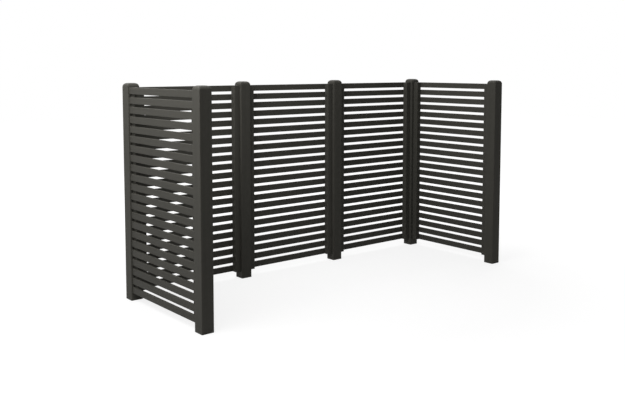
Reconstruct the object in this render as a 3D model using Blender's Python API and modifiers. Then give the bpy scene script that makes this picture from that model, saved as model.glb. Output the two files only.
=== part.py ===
"""Wheelie bin screen: six square timber posts and five slatted panels around an open front.

Metres, +Z up. +X runs along the back row, +Y points from the open front to the back, and the
origin is on the ground, at the centre of the rectangle that the posts stand in.
"""

import math

import bmesh
import bpy
from mathutils import Matrix

# Posts
POST_SIDE = 0.070
POST_RISE = 0.024
POST_TOP_ROUND = 0.0165
POST_ARRIS_ROUND = 0.004
POST_ROUND_SEGMENTS = 5

# Slats
SLAT_COUNT = 22
SLAT_HEIGHT = 0.0365
SLAT_GAP = 0.0165
SLAT_THICKNESS = 0.011
SLAT_EASING = 0.0015

# Stiles, the two uprights that a panel's slats are fixed across
STILE_WIDTH = 0.037
STILE_DEPTH = 0.035
STILE_EASING = 0.002

# Panels between the posts
PANEL_WIDTH = 0.675
PANEL_GROUND_GAP = 0.042
PANEL_SETBACK = 0.007
BACK_PANEL_COUNT = 3

# Countersunk screws that hold each stile to its post
SCREW_BITE_SHARE = 0.4
SCREW_SHANK_RADIUS = 0.0025
SCREW_HEAD_RADIUS = 0.0050
SCREW_HEAD_RIM = 0.0006
SCREW_HEAD_DEPTH = 0.0032
SCREW_TIP_LENGTH = 0.006
SCREW_HEAD_SINK = 0.0005
SCREW_SIDES = 12
SCREW_END_SHARE = 0.07

# Fits and cuts
FIT_GAP = 0.0003
CUT_OVERRUN = 0.002
MERGE_DISTANCE = 0.00002
SMOOTH_ANGLE = math.radians(35)

# Worked out from the sizes above
SLAT_PITCH = SLAT_HEIGHT + SLAT_GAP
PANEL_HEIGHT = SLAT_COUNT * SLAT_HEIGHT + (SLAT_COUNT - 1) * SLAT_GAP
PANEL_TOP = PANEL_GROUND_GAP + PANEL_HEIGHT
POST_HEIGHT = PANEL_TOP + POST_RISE
POST_SPACING = PANEL_WIDTH + POST_SIDE
SLAT_OUTER_Y = POST_SIDE / 2 - PANEL_SETBACK
SLAT_INNER_Y = SLAT_OUTER_Y - SLAT_THICKNESS
STILE_INNER_Y = SLAT_INNER_Y - STILE_DEPTH
PANEL_END_X = PANEL_WIDTH / 2 - FIT_GAP
STILE_SIDE_X = PANEL_WIDTH / 2 - STILE_WIDTH
SCREW_Y = SLAT_INNER_Y - STILE_DEPTH / 2
SCREW_LENGTH = STILE_WIDTH - SCREW_HEAD_SINK + SCREW_BITE_SHARE * POST_SIDE
BACK_ROW_Y = POST_SPACING / 2
FRONT_ROW_Y = -POST_SPACING / 2
CORNER_X = BACK_PANEL_COUNT * POST_SPACING / 2

# Colours are linear RGB
PAINT_COLOUR = (0.073, 0.0705, 0.061, 1.0)
SCREW_COLOUR = (0.056, 0.055, 0.049, 1.0)


def clear_scene():
    for obj in list(bpy.data.objects):
        bpy.data.objects.remove(obj, do_unlink=True)


def make_collection(name):
    collection = bpy.data.collections.new(name)
    bpy.context.scene.collection.children.link(collection)
    return collection


def make_material(name, colour, roughness, metallic):
    material = bpy.data.materials.new(name)
    material.use_nodes = True
    shader = material.node_tree.nodes["Principled BSDF"]
    shader.inputs["Base Color"].default_value = colour
    shader.inputs["Roughness"].default_value = roughness
    shader.inputs["Metallic"].default_value = metallic
    material.diffuse_color = colour
    return material


def mesh_from(bm, name):
    mesh = bpy.data.meshes.new(name)
    bm.to_mesh(mesh)
    bm.free()
    return mesh


def evaluated_mesh(obj, name):
    mesh = bpy.data.meshes.new_from_object(obj.evaluated_get(bpy.context.evaluated_depsgraph_get()))
    mesh.name = name
    return mesh


def place(name, mesh, collection, material=None, parent=None):
    obj = bpy.data.objects.new(name, mesh)
    collection.objects.link(obj)
    obj.parent = parent
    if material is not None and not mesh.materials:
        mesh.materials.append(material)
    return obj


def smooth(mesh):
    mesh.shade_smooth()
    mesh.set_sharp_from_angle(angle=SMOOTH_ANGLE)


def add_box(bm, low, high):
    """Add a box whose corners lie exactly on the given values, and return its edges."""
    made = bmesh.ops.create_cube(bm, size=1.0)
    for vert in made["verts"]:
        vert.co = [b if side > 0 else a for side, a, b in zip(vert.co, low, high)]
    return list(dict.fromkeys(edge for vert in made["verts"] for edge in vert.link_edges))


def edges_along(edges, axis):
    """The edges that run along one axis, given as "x", "y" or "z"."""
    found = []
    for edge in edges:
        start, end = [vert.co for vert in edge.verts]
        if abs(getattr(end - start, axis)) > MERGE_DISTANCE:
            found.append(edge)
    return found


def middle(edge):
    start, end = [vert.co for vert in edge.verts]
    return (start + end) / 2


def add_boolean(obj, operation, other):
    modifier = obj.modifiers.new(operation.lower() + "_" + other.name, "BOOLEAN")
    modifier.operation = operation
    modifier.solver = "EXACT"
    modifier.object = other


def combine(name, mesh, steps):
    """Apply (operation, mesh) steps to a mesh, all in one frame, and return the result."""
    base = place(name, mesh, bpy.context.scene.collection)
    others = []
    for operation, other_mesh in steps:
        other = place(other_mesh.name, other_mesh, bpy.context.scene.collection)
        add_boolean(base, operation, other)
        others.append(other)
    result = evaluated_mesh(base, name)
    for obj in [base, *others]:
        bpy.data.objects.remove(obj, do_unlink=True)
    return result


def post_mesh():
    """A square post with softened arrises and a top that is rounded over on all four sides."""
    half = POST_SIDE / 2
    bm = bmesh.new()
    weight = bm.edges.layers.float.new("bevel_weight_edge")
    edges = add_box(bm, (-half, -half, 0), (half, half, POST_HEIGHT))
    for edge in edges:
        if min(vert.co.z for vert in edge.verts) > POST_HEIGHT / 2:
            edge[weight] = 1.0
    for edge in edges_along(edges, "z"):
        edge[weight] = POST_ARRIS_ROUND / POST_TOP_ROUND
    return mesh_from(bm, "post")


def make_post(name, mesh, x, y, collection, material):
    post = place(name, mesh, collection, material)
    post.location = (x, y, 0)
    rounding = post.modifiers.new("rounding", "BEVEL")
    rounding.limit_method = "WEIGHT"
    rounding.width = POST_TOP_ROUND
    rounding.segments = POST_ROUND_SEGMENTS
    rounding.use_clamp_overlap = True
    return post


def stile_mesh(end, name, seat_gap):
    """An upright at one end of a panel. end is -1 or 1, and the slats lie over its outer face."""
    near = end * STILE_SIDE_X
    far = end * PANEL_END_X
    bm = bmesh.new()
    low = (min(near, far), STILE_INNER_Y, PANEL_GROUND_GAP)
    high = (max(near, far), SLAT_INNER_Y - seat_gap, PANEL_TOP)
    edges = add_box(bm, low, high)
    bay_side = [e for e in edges_along(edges, "z") if middle(e).y < SCREW_Y]
    bmesh.ops.bevel(bm, geom=bay_side, offset=STILE_EASING, segments=1, affect="EDGES")
    return mesh_from(bm, name)


def slats_mesh():
    """All the slats of one panel, side by side up its height, with their long edges eased."""
    bm = bmesh.new()
    for index in range(SLAT_COUNT):
        bottom = PANEL_GROUND_GAP + index * SLAT_PITCH
        low = (-PANEL_END_X, SLAT_INNER_Y, bottom)
        high = (PANEL_END_X, SLAT_OUTER_Y, bottom + SLAT_HEIGHT)
        edges = add_box(bm, low, high)
        outer = [e for e in edges_along(edges, "x") if middle(e).y > SLAT_INNER_Y + SLAT_THICKNESS / 2]
        bmesh.ops.bevel(bm, geom=outer, offset=SLAT_EASING, segments=1, affect="EDGES")
    return mesh_from(bm, "slats")


def turned_mesh(name, profile):
    """Turn a profile of (radius, height) points, listed from top to bottom, about Z."""
    outline = bpy.data.meshes.new(name + "_outline")
    points = [(radius, 0, height) for radius, height in profile]
    outline.from_pydata(points, [(i, i + 1) for i in range(len(points) - 1)], [])
    obj = bpy.data.objects.new(name + "_outline", outline)
    bpy.context.scene.collection.objects.link(obj)
    turn = obj.modifiers.new("turn", "SCREW")
    turn.axis = "Z"
    turn.steps = SCREW_SIDES
    turn.render_steps = SCREW_SIDES
    turn.use_merge_vertices = True
    turn.merge_threshold = MERGE_DISTANCE
    mesh = evaluated_mesh(obj, name)
    bpy.data.objects.remove(obj, do_unlink=True)
    return mesh


def screw_mesh():
    """A countersunk screw along Z, its head's top at zero and its tip below."""
    mesh = turned_mesh("screw", [
        (0, 0),
        (SCREW_HEAD_RADIUS, 0),
        (SCREW_HEAD_RADIUS, -SCREW_HEAD_RIM),
        (SCREW_SHANK_RADIUS, -SCREW_HEAD_DEPTH),
        (SCREW_SHANK_RADIUS, SCREW_TIP_LENGTH - SCREW_LENGTH),
        (0, -SCREW_LENGTH),
    ])
    smooth(mesh)
    return mesh


def screw_hole_mesh():
    """The screw's own outline grown by the fit gap, and open above the head."""
    head = SCREW_HEAD_RADIUS + FIT_GAP
    shank = SCREW_SHANK_RADIUS + FIT_GAP
    return turned_mesh("screw_hole", [
        (0, SCREW_HEAD_SINK + CUT_OVERRUN),
        (head, SCREW_HEAD_SINK + CUT_OVERRUN),
        (head, -SCREW_HEAD_RIM - FIT_GAP),
        (shank, -SCREW_HEAD_DEPTH - FIT_GAP),
        (shank, SCREW_TIP_LENGTH - SCREW_LENGTH - FIT_GAP),
        (0, -SCREW_LENGTH - FIT_GAP),
    ])


def screw_places():
    """Each screw's name and its matrix in the panel's frame, the head facing the panel's middle."""
    inset = SCREW_END_SHARE * PANEL_HEIGHT
    low = PANEL_GROUND_GAP + inset
    high = PANEL_TOP - inset
    levels = {"low": low, "middle": (low + high) / 2, "high": high}
    places = []
    for end, end_name in ((-1, "first"), (1, "second")):
        turn = Matrix.Rotation(math.radians(-90) * end, 4, "Y")
        for level, height in levels.items():
            head = (end * (STILE_SIDE_X + SCREW_HEAD_SINK), SCREW_Y, height)
            places.append((end_name + "_" + level, Matrix.Translation(head) @ turn))
    return places


def screw_holes_mesh(hole):
    """All the screw holes of one panel in one cutter."""
    bm = bmesh.new()
    for _, matrix in screw_places():
        first_new = len(bm.verts)
        bm.from_mesh(hole)
        bm.verts.ensure_lookup_table()
        bmesh.ops.transform(bm, matrix=matrix, verts=bm.verts[first_new:])
    return mesh_from(bm, "screw_holes")


def make_panel(name, x, y, turn, meshes, materials, collections):
    """One panel on its own empty. Its own +Y faces out of the screen. Returns its hole cutter."""
    parts, cutters = collections
    frame = bpy.data.objects.new(name + "_panel", None)
    parts.objects.link(frame)
    frame.location = (x, y, 0)
    frame.rotation_euler = (0, 0, turn)
    place(name + "_slats", meshes["slats"], parts, materials["slat"], frame)
    place(name + "_stile", meshes["stile"], parts, materials["stile"], frame)
    for place_name, matrix in screw_places():
        screw = place(name + "_screw_" + place_name, meshes["screw"], parts, materials["screw"], frame)
        screw.matrix_local = matrix
    holes = place(name + "_screw_holes", meshes["screw_holes"], cutters, None, frame)
    holes.display_type = "WIRE"
    holes.hide_render = True
    return holes


def build():
    clear_scene()
    parts = make_collection("wheelie_bin_screen")
    cutters = make_collection("cutters")
    materials = {
        "post": make_material("post_paint", PAINT_COLOUR, 0.6, 0.0),
        "slat": make_material("slat_paint", PAINT_COLOUR, 0.6, 0.0),
        "stile": make_material("stile_paint", PAINT_COLOUR, 0.6, 0.0),
        "screw": make_material("screw_coating", SCREW_COLOUR, 0.45, 0.6),
    }
    holes_mesh = screw_holes_mesh(screw_hole_mesh())
    meshes = {
        "slats": combine("slats_and_first_stile", slats_mesh(), [
            ("UNION", stile_mesh(-1, "first_stile", 0)),
            ("DIFFERENCE", holes_mesh),
        ]),
        "stile": combine("second_stile", stile_mesh(1, "plain_stile", FIT_GAP), [("DIFFERENCE", holes_mesh)]),
        "screw": screw_mesh(),
        "screw_holes": holes_mesh,
    }

    side_turn = math.radians(90)
    panel_places = [("left", -CORNER_X, 0, side_turn)]
    for index, name in enumerate(("back_left", "back_middle", "back_right")):
        panel_places.append((name, -CORNER_X + (index + 0.5) * POST_SPACING, BACK_ROW_Y, 0))
    panel_places.append(("right", CORNER_X, 0, -side_turn))
    holes = {}
    for name, x, y, turn in panel_places:
        holes[name] = make_panel(name, x, y, turn, meshes, materials, (parts, cutters))

    post = post_mesh()
    inner_x = CORNER_X - POST_SPACING
    post_places = (
        ("front_left_post", -CORNER_X, FRONT_ROW_Y, ("left",)),
        ("back_left_corner_post", -CORNER_X, BACK_ROW_Y, ("left", "back_left")),
        ("back_left_middle_post", -inner_x, BACK_ROW_Y, ("back_left", "back_middle")),
        ("back_right_middle_post", inner_x, BACK_ROW_Y, ("back_middle", "back_right")),
        ("back_right_corner_post", CORNER_X, BACK_ROW_Y, ("back_right", "right")),
        ("front_right_post", CORNER_X, FRONT_ROW_Y, ("right",)),
    )
    for name, x, y, panels in post_places:
        made = make_post(name, post, x, y, parts, materials["post"])
        for panel in panels:
            add_boolean(made, "DIFFERENCE", holes[panel])


build()
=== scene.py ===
import math
import random

import bmesh
import bpy
from mathutils import Matrix, Vector


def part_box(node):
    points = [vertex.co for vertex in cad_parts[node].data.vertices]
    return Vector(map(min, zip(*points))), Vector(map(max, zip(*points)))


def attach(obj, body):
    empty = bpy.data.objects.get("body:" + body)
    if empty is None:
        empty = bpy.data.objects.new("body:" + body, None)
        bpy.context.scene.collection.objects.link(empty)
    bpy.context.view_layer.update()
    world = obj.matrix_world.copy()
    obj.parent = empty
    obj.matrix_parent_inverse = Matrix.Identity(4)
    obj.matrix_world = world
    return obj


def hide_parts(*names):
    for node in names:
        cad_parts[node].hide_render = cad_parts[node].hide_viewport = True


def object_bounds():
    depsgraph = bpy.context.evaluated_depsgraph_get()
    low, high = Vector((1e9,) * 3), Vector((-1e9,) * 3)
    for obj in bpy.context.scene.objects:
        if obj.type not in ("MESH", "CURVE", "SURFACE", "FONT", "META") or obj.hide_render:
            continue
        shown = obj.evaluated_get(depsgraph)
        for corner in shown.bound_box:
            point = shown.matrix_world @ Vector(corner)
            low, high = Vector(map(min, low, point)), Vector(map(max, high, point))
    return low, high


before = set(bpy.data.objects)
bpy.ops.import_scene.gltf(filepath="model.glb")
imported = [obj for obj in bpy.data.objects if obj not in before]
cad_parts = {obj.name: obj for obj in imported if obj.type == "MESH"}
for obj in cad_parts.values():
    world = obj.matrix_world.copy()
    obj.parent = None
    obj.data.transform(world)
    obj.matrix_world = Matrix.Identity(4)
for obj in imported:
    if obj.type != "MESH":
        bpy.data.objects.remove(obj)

CAD_LOW, CAD_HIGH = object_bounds()

# Posts. Every size is in metres
POST_SIDE = 0.070
POST_TOP_ROUND = 0.020
POST_ARRIS_ROUND = 0.004
POST_ROUND_SEGMENTS = 8

# Slats, and the stiles that they are fixed across
SLAT_COUNT = 22
SLAT_HEIGHT = 0.0365
SLAT_PITCH = 0.053
SLAT_THICKNESS = 0.011
SLAT_OUTER_ROUND = 0.002
SLAT_INNER_ROUND = 0.0005
STILE_WIDTH = 0.037
STILE_DEPTH = 0.035
STILE_INNER_ROUND = 0.0025
STILE_OUTER_ROUND = 0.0006
ROUND_SEGMENTS = 3

# Panels between the posts
PANELS = ("left", "back_left", "back_middle", "back_right", "right")
SIDE_PANEL_TURNS = {"left": math.radians(90), "right": math.radians(-90)}
PANEL_WIDTH = 0.675
PANEL_SETBACK = 0.007
FIT_GAP = 0.0003
CUT_OVERRUN = 0.005
SMOOTH_ANGLE = math.radians(35)

# Countersunk screws, three at each end of a panel
ENDS = ((-1, "first"), (1, "second"))
LEVELS = ("low", "middle", "high")
SCREW_HEAD_RADIUS = 0.0050
SCREW_SHANK_RADIUS = 0.0025
SCREW_HEAD_RIM = 0.0006
SCREW_HEAD_DEPTH = 0.0032
SCREW_TIP_LENGTH = 0.006
SCREW_HEAD_SINK = 0.0005
SCREW_SIDES = 32

# The cross recess in a screw's head
RECESS_SPAN = 0.0048
RECESS_SLOT = 0.0011
RECESS_DEPTH = 0.0019
RECESS_FOOT_SHARE = 0.45

# Pins that fix a slat to a stile, their heads filled and painted over
PIN_RADIUS = 0.0017
PIN_PROUD = 0.00015
PIN_CROWN_RADIUS_SHARE = 0.7
PIN_CROWN_HEIGHT_SHARE = 0.85
PIN_ROOT = 0.0010
PIN_SIDES = 16
PIN_SPREAD = 0.0095
PIN_NUDGE = 0.0012

# Worked out from the sizes above, in a panel's own frame
POST_SPACING = PANEL_WIDTH + POST_SIDE
SLAT_OUTER_Y = POST_SIDE / 2 - PANEL_SETBACK
SLAT_INNER_Y = SLAT_OUTER_Y - SLAT_THICKNESS
PANEL_END_X = PANEL_WIDTH / 2 - FIT_GAP
STILE_SIDE_X = PANEL_WIDTH / 2 - STILE_WIDTH

# Camera, for a frame of 625 x 416 pixels
CAMERA_PLACE = (-3.15166, -3.69899, 1.30767)
CAMERA_TURN = math.radians(-39.2978)
CAMERA_DIP = math.radians(4.6730)
CAMERA_LENS = 46.185
CAMERA_SENSOR = 36.0
CAMERA_SHIFT_Y = -0.122

# Studio: each square lamp's name, place, size and power in watts. All are aimed at one point
LAMPS = (
    ("key", (-1.91, -0.51, 2.58), 1.6, 35.5),
    ("left", (-2.42, 0.0, 2.0), 1.6, 14.7),
    ("top", (0.0, 0.0, 3.0), 1.5, 5.9),
    ("rear", (0.0, 3.18, 3.78), 3.0, 60.0),
    ("right", (2.76, 1.59, 3.78), 3.0, 60.0),
)
LAMP_AIM = (0.0, 0.0, 0.6)
AMBIENT = 0.10

# Floor: its greys for light on the object and for the camera, and its glow near the object and far off
FLOOR_HALF = 15.0
FLOOR_PALE = 0.55
FLOOR_SHADE = 0.25
FLOOR_GLOW_NEAR = 0.83
FLOOR_GLOW_FAR = 1.0
FLOOR_NEAR = 1.2
FLOOR_FAR = 3.0
WHITE = (1.0, 1.0, 1.0)

# Paint and screw coating, linear RGB
PAINT = (0.073, 0.0705, 0.061)
WORN_PAINT = (0.150, 0.143, 0.122)
COATING = (0.056, 0.055, 0.049)

# Noise scales, per metre. Where there are three, they run along the grain's X, Y and Z
RING_SCALE_ALONG = 1.1
SLAT_RING_SCALE = 75.0
STILE_RING_SCALE = 60.0
POST_RING_SCALE = 45.0
FIBRE_SCALE = (14.0, 620.0, 620.0)
BRUSH_SCALE = (5.0, 210.0, 210.0)
CLOUD_SCALE = 5.5
SKIN_SCALE = 900.0
RAGGED_SCALE = 130.0
SPECKLE_SCALE = 1900.0
BLOT_SCALE = 420.0
NOISE_LOW = 0.3
NOISE_HIGH = 0.7

# How far each thing takes the paint's tone from 1, and the tones that its colour runs between
RING_TONE = 0.045
CLOUD_TONE = 0.05
BRUSH_TONE = 0.025
PIN_HEAD_TONE = -0.03
SLAT_TONE_SPREAD = 0.022
STILE_TONE_SPREAD = 0.02
POST_TONE_SPREAD = 0.015
TONE_LOW = 0.5
TONE_HIGH = 1.5

# Wear on the arrises: how far from the edge it ends and is full, moved in and out by a ragged noise
WEAR_END = 0.0011
WEAR_FULL = 0.0001
RAGGED_RANGE = 0.0026
RAGGED_START = -0.0009
WEAR_COLOUR = 0.30
WEAR_ROUGHNESS = 0.10
UNWORN_HALF = Vector((1.0, 1.0, 1.0))

# Surface of the paint, with heights in metres
PAINT_SMOOTHEST = 0.50
PAINT_ROUGHEST = 0.60
FIBRE_ROUGHNESS = 0.05
PAINT_SPECULAR = 0.072
PAINT_BUMP = 0.7
RING_HEIGHT = 0.00030
FIBRE_HEIGHT = 0.00006
BRUSH_HEIGHT = 0.00008
SKIN_HEIGHT = 0.00002

# Surface of the screw coating: its darkest and palest shades, and the speckle and blot that give them
COATING_DARK = 0.75
COATING_PALE = 1.3
COATING_NOISE_LOW = 0.7
COATING_NOISE_HIGH = 1.3
COATING_SMOOTHEST = 0.38
COATING_ROUGHEST = 0.58
COATING_METALLIC = 0.35
COATING_SPECULAR = 0.25
COATING_BUMP = 0.5
SPECKLE_HEIGHT = 0.00004

# Each piece's grain comes from its own place in the noise, up to GRAIN_SHIFT metres away on each axis
GRAIN_SHIFT = 40.0
RANDOM_SEED = 11
draw = random.Random(RANDOM_SEED)


# Node helpers

def node(tree, kind, inputs, **settings):
    """Add a node. inputs maps a socket's name or number to a value, or to a socket to link from."""
    made = tree.nodes.new(kind)
    for key, value in settings.items():
        setattr(made, key, value)
    for key, value in inputs.items():
        if isinstance(value, bpy.types.NodeSocket):
            tree.links.new(value, made.inputs[key])
        else:
            made.inputs[key].default_value = value
    return made


def maths(tree, operation, *values):
    return node(tree, "ShaderNodeMath", dict(enumerate(values)), operation=operation).outputs[0]


def vector_maths(tree, operation, *values):
    return node(tree, "ShaderNodeVectorMath", dict(enumerate(values)), operation=operation)


def added(tree, first, *others):
    total = first
    for other in others:
        total = maths(tree, "ADD", total, other)
    return total


def scaled(tree, vector, scale):
    return vector_maths(tree, "MULTIPLY", vector, scale).outputs[0]


def noise(tree, vector, scale=1.0, detail=3.0, roughness=0.5, distortion=0.0):
    made = node(tree, "ShaderNodeTexNoise", {
        "Vector": vector, "Scale": scale, "Detail": detail, "Roughness": roughness, "Distortion": distortion,
    })
    return made.outputs[0]


def remap(tree, value, low, high, out_low=0.0, out_high=1.0):
    made = node(tree, "ShaderNodeMapRange", {
        "Value": value, "From Min": low, "From Max": high, "To Min": out_low, "To Max": out_high,
    })
    return made.outputs[0]


def spread(tree, value, low, high):
    """Noise, which mostly lies between NOISE_LOW and NOISE_HIGH, spread from low to high."""
    return remap(tree, value, NOISE_LOW, NOISE_HIGH, low, high)


def mixed(tree, factor, first, second):
    return node(tree, "ShaderNodeMix", {0: factor, 6: first, 7: second}, data_type="RGBA").outputs[2]


def rgba(colour, factor=1.0):
    return tuple(c * factor for c in colour) + (1.0,)


# Materials

def new_material(name):
    material = bpy.data.materials.new(name)
    material.use_nodes = True
    tree = material.node_tree
    return material, tree, tree.nodes["Principled BSDF"]


def attribute(tree, name, output):
    return node(tree, "ShaderNodeAttribute", {}, attribute_name=name).outputs[output]


def edge_distance(tree, place, half):
    """How far a point of a box's surface lies from the nearest edge of the box, in metres."""
    from_middle = vector_maths(tree, "ABSOLUTE", place).outputs[0]
    from_sides = vector_maths(tree, "SUBTRACT", half, from_middle).outputs[0]
    x, y, z = node(tree, "ShaderNodeSeparateXYZ", {0: from_sides}).outputs
    low = maths(tree, "MINIMUM", x, y)
    high = maths(tree, "MAXIMUM", x, y)
    return maths(tree, "MAXIMUM", low, maths(tree, "MINIMUM", high, z))


def bump_up(tree, shader, height, strength):
    """Let height, in metres, stand up from the surface."""
    bump = node(tree, "ShaderNodeBump", {"Strength": strength, "Distance": 1.0, "Height": height})
    tree.links.new(bump.outputs[0], shader.inputs["Normal"])


def painted_timber(name, ring_scale, tone_shift=0.0):
    """Matt paint over planed softwood. Its grain runs along the X axis of the attribute grain."""
    material, tree, shader = new_material(name)
    grain = attribute(tree, "grain", "Vector")
    place = attribute(tree, "place", "Vector")
    half = attribute(tree, "half", "Vector")
    tone = attribute(tree, "tone", "Fac")

    ring_vector = scaled(tree, grain, (RING_SCALE_ALONG, ring_scale, ring_scale))
    rings = noise(tree, ring_vector, detail=4.0, roughness=0.55, distortion=0.9)
    fibre = noise(tree, scaled(tree, grain, FIBRE_SCALE), roughness=0.6)
    brush = noise(tree, scaled(tree, grain, BRUSH_SCALE), detail=2.0)
    cloud = noise(tree, grain, CLOUD_SCALE, roughness=0.55)
    skin = noise(tree, grain, SKIN_SCALE, detail=2.0)

    edge = edge_distance(tree, place, half)
    ragged = noise(tree, grain, RAGGED_SCALE, detail=4.0, roughness=0.65)
    ragged = maths(tree, "MULTIPLY_ADD", ragged, RAGGED_RANGE, RAGGED_START)
    worn = remap(tree, maths(tree, "SUBTRACT", edge, ragged), WEAR_END, WEAR_FULL)

    ring_tone = spread(tree, rings, -RING_TONE, RING_TONE)
    cloud_tone = spread(tree, cloud, -CLOUD_TONE, CLOUD_TONE)
    brush_tone = spread(tree, brush, -BRUSH_TONE, BRUSH_TONE)
    level = added(tree, ring_tone, cloud_tone, brush_tone, tone, tone_shift)
    level = remap(tree, level, TONE_LOW, TONE_HIGH)
    colour = mixed(tree, level, rgba(PAINT, TONE_LOW), rgba(PAINT, TONE_HIGH))
    colour = mixed(tree, maths(tree, "MULTIPLY", worn, WEAR_COLOUR), colour, rgba(WORN_PAINT))
    tree.links.new(colour, shader.inputs["Base Color"])

    cloud_rough = spread(tree, cloud, PAINT_SMOOTHEST, PAINT_ROUGHEST)
    fibre_rough = spread(tree, fibre, -FIBRE_ROUGHNESS, FIBRE_ROUGHNESS)
    rough = added(tree, cloud_rough, fibre_rough, maths(tree, "MULTIPLY", worn, WEAR_ROUGHNESS))
    tree.links.new(rough, shader.inputs["Roughness"])
    shader.inputs["Specular IOR Level"].default_value = PAINT_SPECULAR

    height = maths(tree, "MULTIPLY", rings, RING_HEIGHT)
    height = maths(tree, "MULTIPLY_ADD", fibre, FIBRE_HEIGHT, height)
    height = maths(tree, "MULTIPLY_ADD", brush, BRUSH_HEIGHT, height)
    height = maths(tree, "MULTIPLY_ADD", skin, SKIN_HEIGHT, height)
    bump_up(tree, shader, height, PAINT_BUMP)
    return material


def screw_coating(name):
    """A dark, finely speckled exterior coating on steel."""
    material, tree, shader = new_material(name)
    grain = attribute(tree, "grain", "Vector")
    speckle = noise(tree, grain, SPECKLE_SCALE, roughness=0.6)
    blot = noise(tree, grain, BLOT_SCALE)
    pale = remap(tree, added(tree, speckle, blot), COATING_NOISE_LOW, COATING_NOISE_HIGH)
    colour = mixed(tree, pale, rgba(COATING, COATING_DARK), rgba(COATING, COATING_PALE))
    tree.links.new(colour, shader.inputs["Base Color"])
    rough = spread(tree, speckle, COATING_SMOOTHEST, COATING_ROUGHEST)
    tree.links.new(rough, shader.inputs["Roughness"])
    shader.inputs["Metallic"].default_value = COATING_METALLIC
    shader.inputs["Specular IOR Level"].default_value = COATING_SPECULAR
    bump_up(tree, shader, maths(tree, "MULTIPLY", speckle, SPECKLE_HEIGHT), COATING_BUMP)
    return material


# Object and mesh helpers

def linked(name, data):
    """A new object in the scene."""
    obj = bpy.data.objects.new(name, data)
    bpy.context.scene.collection.objects.link(obj)
    return obj


def mesh_from(bm, name):
    """A mesh from a bmesh, which goes."""
    mesh = bpy.data.meshes.new(name)
    bm.to_mesh(mesh)
    bm.free()
    return mesh


def add_cut(obj, cutter):
    cut = obj.modifiers.new("cut", "BOOLEAN")
    cut.operation = "DIFFERENCE"
    cut.solver = "EXACT"
    cut.object = cutter


def applied(obj, name):
    """The object's mesh with its modifiers applied. The object goes."""
    evaluated = obj.evaluated_get(bpy.context.evaluated_depsgraph_get())
    mesh = bpy.data.meshes.new_from_object(evaluated)
    mesh.name = name
    bpy.data.objects.remove(obj, do_unlink=True)
    return mesh


def smoothed(mesh):
    """The mesh itself, shaded smooth but for its edges sharper than SMOOTH_ANGLE."""
    mesh.shade_smooth()
    mesh.set_sharp_from_angle(angle=SMOOTH_ANGLE)
    return mesh


def box_mesh(name, low, high, round_of, segments, cutter=None):
    """A box with rounded edges. round_of(axis, middle) gives each edge's radius in metres."""
    bm = bmesh.new()
    weight = bm.edges.layers.float.new("bevel_weight_edge")
    for vert in bmesh.ops.create_cube(bm, size=1.0)["verts"]:
        vert.co = [b if side > 0 else a for side, a, b in zip(vert.co, low, high)]
    radii = []
    for edge in bm.edges:
        start, end = [vert.co for vert in edge.verts]
        step = [abs(value) for value in end - start]
        radii.append(round_of("xyz"[step.index(max(step))], (start + end) / 2))
    widest = max(radii)
    for edge, radius in zip(bm.edges, radii):
        edge[weight] = radius / widest
    for face in bm.faces:
        face.smooth = True

    obj = linked(name, mesh_from(bm, name))
    bevel = obj.modifiers.new("rounding", "BEVEL")
    bevel.limit_method = "WEIGHT"
    bevel.width = widest
    bevel.segments = segments
    if cutter is not None:
        add_cut(obj, cutter)
    return smoothed(applied(obj, name))


def turned_mesh(name, profile, sides):
    """A closed turned form along Z from (radius, height) points, listed from top to bottom."""
    bm = bmesh.new()
    rings = []
    for radius, height in profile:
        if radius == 0:
            rings.append([bm.verts.new((0, 0, height))])
            continue
        angles = [2 * math.pi * index / sides for index in range(sides)]
        rings.append([bm.verts.new((radius * math.cos(a), radius * math.sin(a), height)) for a in angles])
    for upper, lower in zip(rings, rings[1:]):
        for index in range(sides):
            after = (index + 1) % sides
            corners = [upper[index % len(upper)], lower[index % len(lower)]]
            corners += [lower[after % len(lower)], upper[after % len(upper)]]
            bm.faces.new(list(dict.fromkeys(corners)))
    bmesh.ops.recalc_face_normals(bm, faces=bm.faces)
    return mesh_from(bm, name)


def joined_mesh(name, mesh, matrices):
    """One mesh with a copy of another at each matrix."""
    bm = bmesh.new()
    for matrix in matrices:
        first_new = len(bm.verts)
        bm.from_mesh(mesh)
        bm.verts.ensure_lookup_table()
        bmesh.ops.transform(bm, matrix=matrix, verts=bm.verts[first_new:])
    return mesh_from(bm, name)


def write_vectors(mesh, name, values):
    mesh.attributes.new(name, "FLOAT_VECTOR", "POINT")
    mesh.attributes[name].data.foreach_set("vector", values)


def write_timber(mesh, along, half, middle, tone=0.0):
    """Store what the paint reads: grain place, own place, half size and tone. along is the grain's axis."""
    order = {"x": (0, 1, 2), "z": (2, 0, 1)}[along]
    shift = [draw.uniform(-GRAIN_SHIFT, GRAIN_SHIFT) for _ in range(3)]
    own = [vert.co - middle for vert in mesh.vertices]
    grain = [place[axis] + shift[index] for place in own for index, axis in enumerate(order)]
    write_vectors(mesh, "grain", grain)
    write_vectors(mesh, "place", [value for place in own for value in place])
    write_vectors(mesh, "half", list(half) * len(own))
    mesh.attributes.new("tone", "FLOAT", "POINT")
    mesh.attributes["tone"].data.foreach_set("value", [1.0 + tone] * len(own))


def add_piece(name, mesh, matrix, material, replaced):
    """A piece of the visual model, in place of the nodes replaced."""
    mesh.materials.clear()
    mesh.materials.append(material)
    piece = linked(name, mesh)
    piece.matrix_world = matrix
    normals = piece.modifiers.new("even_normals", "WEIGHTED_NORMAL")
    normals.keep_sharp = True
    bpy.context.view_layer.update()
    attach(piece, "root")
    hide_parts(*replaced)


# Panels

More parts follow.
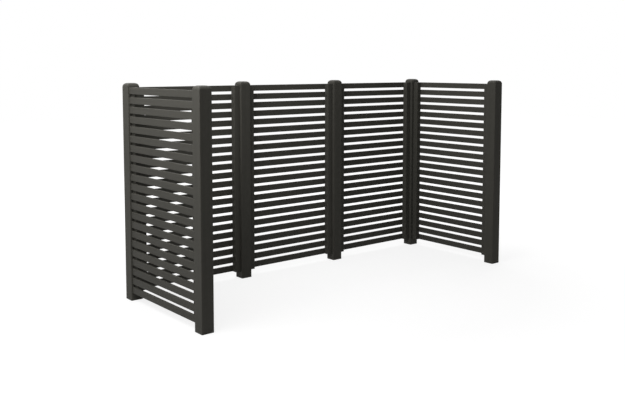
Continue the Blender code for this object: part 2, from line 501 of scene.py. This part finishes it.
def panel_matrix(panel):
    """A panel's own frame: X along the panel, Y out of the screen, at its middle on the ground."""
    low, high = [Vector(corner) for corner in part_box(panel + "_slats")]
    middle = (low + high) / 2
    if panel in SIDE_PANEL_TURNS:
        place = (math.copysign(CAD_HIGH.x - POST_SIDE / 2, middle.x), 0, 0)
    else:
        place = (round(middle.x / POST_SPACING) * POST_SPACING, CAD_HIGH.y - POST_SIDE / 2, 0)
    turn = SIDE_PANEL_TURNS.get(panel, 0)
    return Matrix.Translation(place) @ Matrix.Rotation(turn, 4, "Z")


def slat_prototype():
    """A slat about its own middle, its outer face towards +Y."""
    high = (PANEL_END_X, SLAT_THICKNESS / 2, SLAT_HEIGHT / 2)
    low = [-value for value in high]

    def round_of(axis, middle):
        return SLAT_OUTER_ROUND if axis == "x" and middle.y > 0 else SLAT_INNER_ROUND

    return box_mesh("slat", low, high, round_of, ROUND_SEGMENTS)


def slat_middle(ground_gap, index):
    """How high the middle of a slat is. Slat 0 is the lowest."""
    return ground_gap + index * SLAT_PITCH + SLAT_HEIGHT / 2


def make_slats(panel, matrix, prototype, ground_gap, material):
    half = Vector((PANEL_END_X, SLAT_THICKNESS / 2, SLAT_HEIGHT / 2))
    for index in range(SLAT_COUNT):
        mesh = prototype.copy()
        write_timber(mesh, "x", half, Vector(), draw.gauss(0, SLAT_TONE_SPREAD))
        own_place = (0, SLAT_OUTER_Y - SLAT_THICKNESS / 2, slat_middle(ground_gap, index))
        place = matrix @ Matrix.Translation(own_place)
        add_piece(f"{panel}_slat_{index + 1:02d}", mesh, place, material, [panel + "_slats"])


def stile_mesh(end, low_z, high_z, screws):
    """A stile in the panel's frame, with a countersunk hole for each screw, and its half size and middle."""
    hole_end = -STILE_WIDTH - CUT_OVERRUN
    hole = turned_mesh("hole", [
        (0, CUT_OVERRUN),
        (SCREW_HEAD_RADIUS + FIT_GAP, CUT_OVERRUN),
        (SCREW_HEAD_RADIUS + FIT_GAP, -SCREW_HEAD_RIM - FIT_GAP),
        (SCREW_SHANK_RADIUS + FIT_GAP, -SCREW_HEAD_DEPTH - FIT_GAP),
        (SCREW_SHANK_RADIUS + FIT_GAP, hole_end),
        (0, hole_end),
    ], SCREW_SIDES)
    cutter = linked("holes", joined_mesh("holes", hole, screws))
    near = end * STILE_SIDE_X
    far = end * PANEL_END_X
    low = Vector((min(near, far), SLAT_INNER_Y - STILE_DEPTH, low_z))
    high = Vector((max(near, far), SLAT_INNER_Y - FIT_GAP, high_z))

    def round_of(axis, middle):
        inner = axis == "z" and middle.y < SLAT_INNER_Y - STILE_DEPTH / 2
        return STILE_INNER_ROUND if inner else STILE_OUTER_ROUND

    mesh = box_mesh("stile", low, high, round_of, ROUND_SEGMENTS, cutter)
    bpy.data.objects.remove(cutter, do_unlink=True)
    return mesh, (high - low) / 2, (low + high) / 2


def make_stiles(panel, matrix, ground_gap, top, screws, material):
    for end, end_name in ENDS:
        own_screws = [local for name, (_, local) in screws.items() if "_" + end_name + "_" in name]
        mesh, half, middle = stile_mesh(end, ground_gap, top, own_screws)
        write_timber(mesh, "z", half, middle, draw.gauss(0, STILE_TONE_SPREAD))
        replaced = panel + ("_slats" if end < 0 else "_stile")
        add_piece(f"{panel}_{end_name}_stile", mesh, matrix, material, [replaced])


# Screws and pins

def screw_matrices(panel, matrix):
    """Each screw node's name, with the screw's matrix in the scene and in the panel's frame."""
    found = {}
    for end, end_name in ENDS:
        turn = Matrix.Rotation(math.radians(-90) * end, 4, "Y")
        for level in LEVELS:
            name = panel + "_screw_" + end_name + "_" + level
            low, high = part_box(name)
            own = matrix.inverted() @ ((Vector(low) + Vector(high)) / 2)
            head = Matrix.Translation((end * (STILE_SIDE_X + SCREW_HEAD_SINK), own.y, own.z))
            found[name] = (matrix @ head @ turn, head @ turn)
    return found


def recess_cutter(turn):
    """One slot of the cross recess, narrower at its foot."""
    bm = bmesh.new()
    for vert in bmesh.ops.create_cube(bm, size=1.0)["verts"]:
        deep = vert.co.z < 0
        span = RECESS_SPAN * (RECESS_FOOT_SHARE if deep else 1)
        vert.co = (vert.co.x * span, vert.co.y * RECESS_SLOT, -RECESS_DEPTH if deep else RECESS_DEPTH)
    bmesh.ops.rotate(bm, cent=(0, 0, 0), matrix=Matrix.Rotation(turn, 3, "Z"), verts=bm.verts)
    return linked("slot", mesh_from(bm, "slot"))


def screw_prototype():
    """A countersunk screw along Z with a cross recess, its head's top at zero."""
    low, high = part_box("back_middle_screw_first_low")
    length = high[0] - low[0]
    screw = linked("screw", turned_mesh("screw", [
        (0, 0),
        (SCREW_HEAD_RADIUS, 0),
        (SCREW_HEAD_RADIUS, -SCREW_HEAD_RIM),
        (SCREW_SHANK_RADIUS, -SCREW_HEAD_DEPTH),
        (SCREW_SHANK_RADIUS, SCREW_TIP_LENGTH - length),
        (0, -length),
    ], SCREW_SIDES))
    cutters = [recess_cutter(turn) for turn in (0, math.radians(90))]
    for cutter in cutters:
        add_cut(screw, cutter)
    mesh = applied(screw, "screw")
    for cutter in cutters:
        bpy.data.objects.remove(cutter, do_unlink=True)
    return smoothed(mesh)


def make_screws(screws, prototype, material):
    for name, (place, _) in screws.items():
        mesh = prototype.copy()
        write_timber(mesh, "x", Vector(), Vector())
        add_piece(name + "_driven", mesh, place, material, [name])


def pin_matrices(ground_gap):
    """Two pins through each slat into each stile, their heads on the slat's outer face."""
    found = []
    across = PANEL_WIDTH / 2 - STILE_WIDTH / 2
    face = Matrix.Rotation(math.radians(-90), 4, "X")
    for index in range(SLAT_COUNT):
        for side in (-across, across):
            for lift in (-PIN_SPREAD, PIN_SPREAD):
                nudge = [draw.uniform(-PIN_NUDGE, PIN_NUDGE) for _ in range(2)]
                height = slat_middle(ground_gap, index) + lift + nudge[1]
                found.append(Matrix.Translation((side + nudge[0], SLAT_OUTER_Y, height)) @ face)
    return found


def pin_prototype():
    """The head of a pin along Z, with a low crown. Its root is inside the slat."""
    return turned_mesh("pin", [
        (0, PIN_PROUD),
        (PIN_RADIUS * PIN_CROWN_RADIUS_SHARE, PIN_PROUD * PIN_CROWN_HEIGHT_SHARE),
        (PIN_RADIUS, 0),
        (PIN_RADIUS, -PIN_ROOT),
        (0, -PIN_ROOT),
    ], PIN_SIDES)


def make_pins(panel, matrix, prototype, ground_gap, material):
    """All of a panel's pin heads as one piece. UNWORN_HALF keeps the wear of timber edges off them."""
    pins = smoothed(joined_mesh("pins", prototype, pin_matrices(ground_gap)))
    write_timber(pins, "x", UNWORN_HALF, Vector())
    add_piece(panel + "_pin_heads", pins, matrix, material, [panel + "_slats"])


# The whole screen

def make_panels(materials):
    low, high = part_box("back_middle_slats")
    ground_gap, top = low[2], high[2]
    slat = slat_prototype()
    pin = pin_prototype()
    screw = screw_prototype()
    for panel in PANELS:
        matrix = panel_matrix(panel)
        screws = screw_matrices(panel, matrix)
        make_slats(panel, matrix, slat, ground_gap, materials["slat"])
        make_stiles(panel, matrix, ground_gap, top, screws, materials["stile"])
        make_screws(screws, screw, materials["screw"])
        make_pins(panel, matrix, pin, ground_gap, materials["pin"])


def make_posts(material):
    reach = POST_SIDE / 2
    for name in sorted(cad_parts):
        if not name.endswith("_post"):
            continue
        low, high = [Vector(corner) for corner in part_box(name)]
        foot = Vector(((low.x + high.x) / 2, (low.y + high.y) / 2, 0))
        half = Vector((reach, reach, high.z / 2))
        middle = Vector((0, 0, high.z / 2))

        def round_of(axis, edge_middle):
            if axis == "z":
                return POST_ARRIS_ROUND
            return POST_TOP_ROUND if edge_middle.z > middle.z else 0.0

        mesh = box_mesh(name, middle - half, middle + half, round_of, POST_ROUND_SEGMENTS)
        write_timber(mesh, "z", half, middle, draw.gauss(0, POST_TONE_SPREAD))
        add_piece(name + "_timber", mesh, Matrix.Translation(foot), material, [name])


# Surroundings

def seen_directly(tree):
    """1 for what the camera sees straight, in a mirror or through glass, and 0 for light on the object."""
    seen = node(tree, "ShaderNodeLightPath", {}).outputs
    straight = maths(tree, "MAXIMUM", seen["Is Camera Ray"], seen["Is Glossy Ray"])
    return maths(tree, "MAXIMUM", straight, seen["Is Transmission Ray"])


def make_floor():
    """A pale floor that the camera sees as white, with the object's shadow on it."""
    mesh = bpy.data.meshes.new("floor")
    corners = [(x * FLOOR_HALF, y * FLOOR_HALF, 0) for x, y in ((-1, -1), (1, -1), (1, 1), (-1, 1))]
    mesh.from_pydata(corners, [], [(0, 1, 2, 3)])
    floor = linked("floor", mesh)
    material = bpy.data.materials.new("floor")
    material.use_nodes = True
    tree = material.node_tree
    tree.nodes.clear()
    pale = node(tree, "ShaderNodeBsdfDiffuse", {"Color": rgba(WHITE, FLOOR_PALE)}).outputs[0]
    dim = node(tree, "ShaderNodeBsdfDiffuse", {"Color": rgba(WHITE, FLOOR_SHADE)}).outputs[0]
    spot = node(tree, "ShaderNodeTexCoord", {}).outputs["Object"]
    reach = vector_maths(tree, "LENGTH", spot).outputs["Value"]
    glow = remap(tree, reach, FLOOR_NEAR, FLOOR_FAR, FLOOR_GLOW_NEAR, FLOOR_GLOW_FAR)
    light = node(tree, "ShaderNodeEmission", {"Strength": glow}).outputs[0]
    white = node(tree, "ShaderNodeAddShader", {0: dim, 1: light}).outputs[0]
    both = node(tree, "ShaderNodeMixShader", {0: seen_directly(tree), 1: pale, 2: white}).outputs[0]
    node(tree, "ShaderNodeOutputMaterial", {0: both})
    mesh.materials.append(material)


def make_world():
    """A white background, which lights the object only as much as AMBIENT says."""
    world = bpy.data.worlds.new("studio")
    bpy.context.scene.world = world
    world.use_nodes = True
    tree = world.node_tree
    tree.nodes.clear()
    dim = node(tree, "ShaderNodeBackground", {"Color": rgba(WHITE), "Strength": AMBIENT}).outputs[0]
    white = node(tree, "ShaderNodeBackground", {"Color": rgba(WHITE), "Strength": 1.0}).outputs[0]
    both = node(tree, "ShaderNodeMixShader", {0: seen_directly(tree), 1: dim, 2: white}).outputs[0]
    node(tree, "ShaderNodeOutputWorld", {0: both})


def make_lamps():
    for name, place, size, power in LAMPS:
        light = bpy.data.lights.new(name, "AREA")
        light.shape = "SQUARE"
        light.size = size
        light.energy = power
        lamp = linked(name, light)
        lamp.location = place
        lamp.rotation_euler = (Vector(LAMP_AIM) - Vector(place)).to_track_quat("-Z", "Y").to_euler()
        lamp.visible_camera = False


def make_camera():
    data = bpy.data.cameras.new("camera")
    data.lens = CAMERA_LENS
    data.sensor_width = CAMERA_SENSOR
    data.shift_y = CAMERA_SHIFT_Y
    camera = linked("camera", data)
    camera.location = CAMERA_PLACE
    camera.rotation_euler = (math.radians(90) - CAMERA_DIP, 0, CAMERA_TURN)
    bpy.context.scene.camera = camera


make_camera()
MATERIALS = {
    "slat": painted_timber("painted_slat", SLAT_RING_SCALE),
    "stile": painted_timber("painted_stile", STILE_RING_SCALE),
    "post": painted_timber("painted_post", POST_RING_SCALE),
    "pin": painted_timber("painted_pin_head", SLAT_RING_SCALE, PIN_HEAD_TONE),
    "screw": screw_coating("coated_screw"),
}
make_panels(MATERIALS)
make_posts(MATERIALS["post"])
make_floor()
make_world()
make_lamps()
bpy.context.scene.view_settings.view_transform = "Standard"
